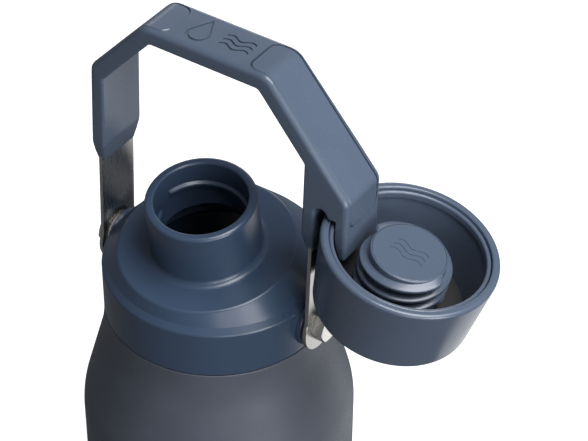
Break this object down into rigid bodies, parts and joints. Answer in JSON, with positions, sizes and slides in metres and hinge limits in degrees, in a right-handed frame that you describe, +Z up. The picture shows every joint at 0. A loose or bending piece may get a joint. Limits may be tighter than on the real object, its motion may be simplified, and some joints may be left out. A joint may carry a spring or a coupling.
{
  "type": "insulated water jug",
  "caption": "Large insulated steel water jug with a leaning pour spout, a swinging carry handle and a screw cap docked on the handle's hook.",
  "frame": {"origin": "on the bottle's axis at the base, on the face it stands on", "axes": "+Z up along the bottle, +X towards the docked cap along the handle's pivot axis, -Y the way the spout leans"},
  "size_m": [0.2032, 0.13, 0.332],
  "materials": {
    "coat": "matte powder coat with a fine texture",
    "steel": "brushed along its length",
    "polished_steel": "bright turned finish",
    "brass": "plain",
    "navy_plastic": "satin moulded",
    "slate_plastic": "fine matte moulded",
    "nylon": "natural",
    "silicone": "soft",
    "foam": "foamed"
  },
  "bodies": {
    "bottle": {"outer_shell": "coat", "inner_liner": "steel", "base_plate": "steel", "base_cover": "coat", "vacuum_seal": "brass", "getter": "silicone"},
    "seal": {"lid_gasket": "silicone"},
    "lid": {"lid_shell": "navy_plastic", "lid_liner": "slate_plastic", "lid_insulation": "foam", "pivot_insert_left": "brass", "pivot_insert_right": "brass", "pivot_washer_left": "steel", "pivot_washer_right": "steel", "pivot_bolt_left": "polished_steel", "pivot_bolt_right": "polished_steel"},
    "handle": {"handle_grip": "slate_plastic", "strap_left": "steel", "strap_right": "steel", "pivot_bush_left": "nylon", "pivot_bush_right": "nylon", "strap_screws_left": "polished_steel", "strap_screws_right": "polished_steel", "cover_left": "slate_plastic", "cover_right": "slate_plastic"},
    "cap": {"cap_shell": "slate_plastic", "cap_liner": "slate_plastic", "cap_plug": "slate_plastic", "plug_cover": "slate_plastic", "cap_gasket": "silicone", "cap_insulation": "foam"}
  },
  "joints": [
    {"name": "lid_lift", "type": "slide", "parent": "bottle", "child": "seal", "axis": [0, 0, 1], "range_m": [0, 0.012]},
    {"name": "lid_turn", "type": "hinge", "parent": "seal", "child": "lid", "pos_m": [0, 0, 0.186], "axis": [0, 0, 1], "range_deg": [0, 1080]},
    {"name": "handle_swing", "type": "hinge", "parent": "lid", "child": "handle", "pos_m": [0, 0, 0.1992], "axis": [1, 0, 0], "range_deg": [-133.3, 138.7]},
    {"name": "cap_undock", "type": "slide", "parent": "handle", "child": "cap", "axis": [0, -0.0464, -0.9989], "range_m": [0, 0.022]}
  ],
  "couplings": [
    {"joint": "lid_lift", "follows": "lid_turn", "m_per_rad": 0.00063662}
  ]
}
